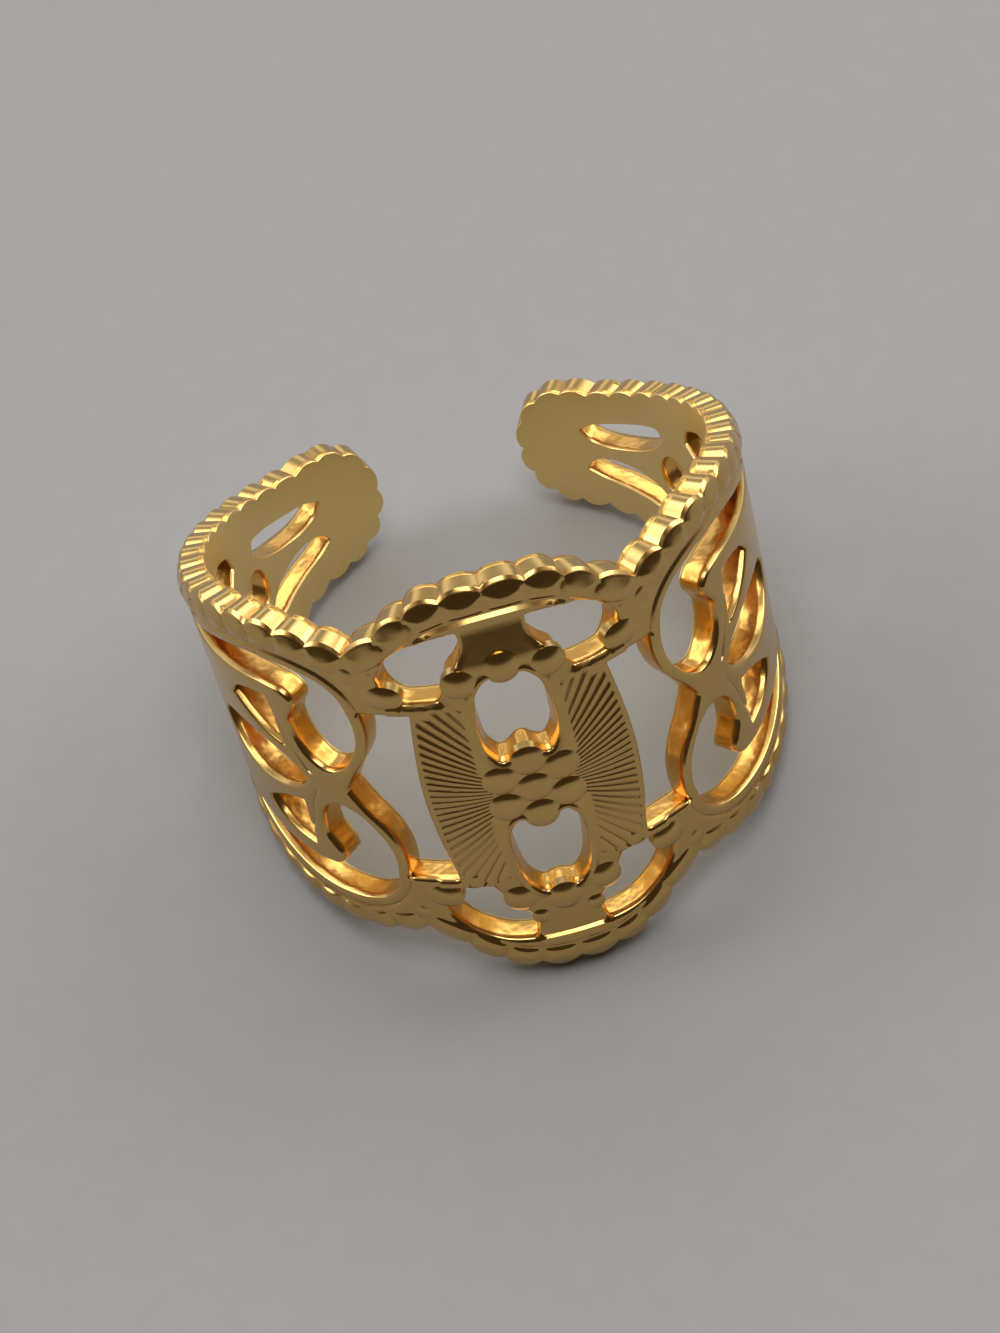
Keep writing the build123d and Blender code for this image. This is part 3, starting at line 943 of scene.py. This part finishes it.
soft_light("overhead_light", place=(0.02, -0.005, 0.32), size=0.16, power=0.35)
soft_light("left_light", place=(-0.2, 0.06, 0.12), size=0.1, power=0.12)
soft_light("right_light", place=(0.2, 0.06, 0.12), size=0.1, power=0.12)
room = bpy.data.worlds.new("room")
room.use_nodes = True
room.node_tree.nodes.clear()
start = Wire(room.node_tree)
_, away, up = start.make("ShaderNodeTexCoord", {}, "Generated").parts()
behind = away.step(*backdrop_from)
low_band = up.maths("ABSOLUTE", up - low_band_height).step(*low_band_fade)
high_band = up.maths("ABSOLUTE", up - high_band_height).step(*high_band_fade)
ceiling = up.step(*ceiling_from)
backdrop = behind * (backdrop_strength + low_band * low_band_strength + high_band * high_band_strength)
around = start.make("ShaderNodeBackground", {
    "Color": behind.between(front_tint, backdrop_tint),
    "Strength": room_strength + backdrop + ceiling * ceiling_strength})
pale = start.make("ShaderNodeBackground", {"Color": seen_grey, "Strength": 1.0})
seen = start.make("ShaderNodeLightPath", {}, "Is Camera Ray")
both = start.make("ShaderNodeMixShader", {0: seen, 1: around, 2: pale})
start.make("ShaderNodeOutputWorld", {"Surface": both})
bpy.context.scene.world = room
bpy.context.scene.view_settings.view_transform = "Standard"

# The camera
# It stands where the photograph was taken from, seen from the ring: in front, well above it,
# and turned a little, so that the ring leans in the frame.
camera_azimuth = 0.5
camera_elevation = 40.18
camera_roll = -15.75
camera_distance = 0.0968
camera_shift = (0.0004966, -0.002209)
lens_length = 74.97
camera_data = bpy.data.cameras.new("camera")
camera_data.lens = lens_length
camera_data.sensor_width = 36
camera_data.clip_start = 0.005
camera = bpy.data.objects.new("camera", camera_data)
lie = Matrix.Rotation(-rest_tilt, 3, "X")
stand = (lie @ Matrix.Rotation(math.radians(camera_azimuth), 3, "Z")
         @ Matrix.Rotation(math.radians(90 - camera_elevation), 3, "X")
         @ Matrix.Rotation(math.radians(camera_roll), 3, "Z"))
camera.matrix_world = Matrix.Translation(
    ring_centre + stand @ Vector((*camera_shift, camera_distance))) @ stand.to_4x4()
bpy.context.scene.collection.objects.link(camera)
bpy.context.scene.camera = camera
